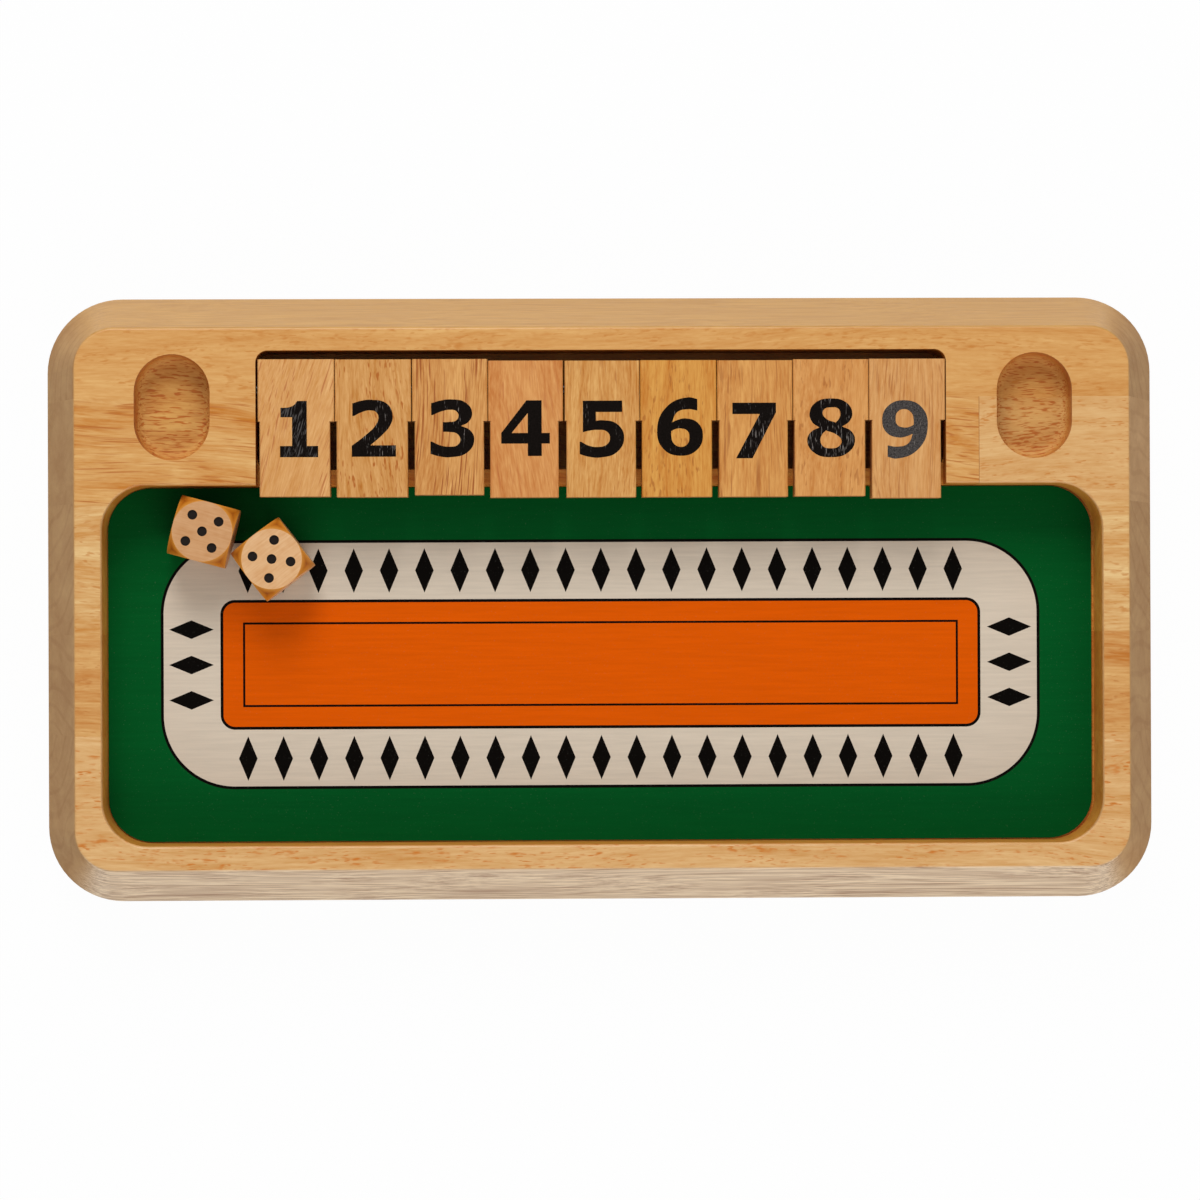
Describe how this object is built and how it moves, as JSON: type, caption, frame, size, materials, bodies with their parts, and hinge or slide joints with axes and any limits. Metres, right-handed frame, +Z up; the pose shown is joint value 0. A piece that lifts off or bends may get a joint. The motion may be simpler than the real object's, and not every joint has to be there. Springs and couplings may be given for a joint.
{
  "type": "shut the box game",
  "caption": "Oblong wooden game board with sloping sides, a round-cornered playing tray, a row of hinged number tiles on a steel rod, two dice wells and loose dice.",
  "frame": {"origin": "centre of the underside, on the surface that the board stands on", "axes": "+X along the board to the player's right, +Y from the player to the rear, +Z up"},
  "size_m": [0.2996, 0.163, 0.028],
  "materials": {
    "stave_rear": "satin clear lacquer",
    "stave_well": "satin clear lacquer",
    "stave_end": "satin clear lacquer",
    "stave_upper": "satin clear lacquer",
    "stave_lower": "satin clear lacquer",
    "stave_front": "satin clear lacquer",
    "panel": "printed, semi-gloss",
    "rod": "drawn",
    "tile": "satin clear lacquer",
    "die": "sanded, waxed"
  },
  "bodies": {
    "board": {"rear_stave": "stave_rear", "well_stave": "stave_well", "well_stave_end": "stave_end", "upper_tray_stave": "stave_upper", "lower_tray_stave": "stave_lower", "front_stave": "stave_front", "playing_panel": "panel", "hinge_rod": "rod"},
    "tile_1": {"tile_1": "tile"},
    "tile_2": {"tile_2": "tile"},
    "tile_3": {"tile_3": "tile"},
    "tile_4": {"tile_4": "tile"},
    "tile_5": {"tile_5": "tile"},
    "tile_6": {"tile_6": "tile"},
    "tile_7": {"tile_7": "tile"},
    "tile_8": {"tile_8": "tile"},
    "tile_9": {"tile_9": "tile"},
    "die_left": {"die_left": "die"},
    "die_right": {"die_right": "die"}
  },
  "joints": [
    {"name": "tile_1_hinge", "type": "hinge", "parent": "board", "child": "tile_1", "pos_m": [-0.0812, 0.05575, 0.024], "axis": [-1, 0, 0], "range_deg": [0, 133]},
    {"name": "tile_2_hinge", "type": "hinge", "parent": "board", "child": "tile_2", "pos_m": [-0.0609, 0.05575, 0.024], "axis": [-1, 0, 0], "range_deg": [0, 136]},
    {"name": "tile_3_hinge", "type": "hinge", "parent": "board", "child": "tile_3", "pos_m": [-0.0406, 0.05575, 0.024], "axis": [-1, 0, 0], "range_deg": [0, 136]},
    {"name": "tile_4_hinge", "type": "hinge", "parent": "board", "child": "tile_4", "pos_m": [-0.0203, 0.05575, 0.024], "axis": [-1, 0, 0], "range_deg": [0, 136]},
    {"name": "tile_5_hinge", "type": "hinge", "parent": "board", "child": "tile_5", "pos_m": [0, 0.05575, 0.024], "axis": [-1, 0, 0], "range_deg": [0, 136]},
    {"name": "tile_6_hinge", "type": "hinge", "parent": "board", "child": "tile_6", "pos_m": [0.0203, 0.05575, 0.024], "axis": [-1, 0, 0], "range_deg": [0, 136]},
    {"name": "tile_7_hinge", "type": "hinge", "parent": "board", "child": "tile_7", "pos_m": [0.0406, 0.05575, 0.024], "axis": [-1, 0, 0], "range_deg": [0, 136]},
    {"name": "tile_8_hinge", "type": "hinge", "parent": "board", "child": "tile_8", "pos_m": [0.0609, 0.05575, 0.024], "axis": [-1, 0, 0], "range_deg": [0, 136]},
    {"name": "tile_9_hinge", "type": "hinge", "parent": "board", "child": "tile_9", "pos_m": [0.0812, 0.05575, 0.024], "axis": [-1, 0, 0], "range_deg": [0, 130]},
    {"name": "die_left_lift", "type": "slide", "parent": "board", "child": "die_left", "axis": [0, 0, 1], "range_m": [0, 0.05]},
    {"name": "die_right_lift", "type": "slide", "parent": "board", "child": "die_right", "axis": [0, 0, 1], "range_m": [0, 0.05]}
  ]
}
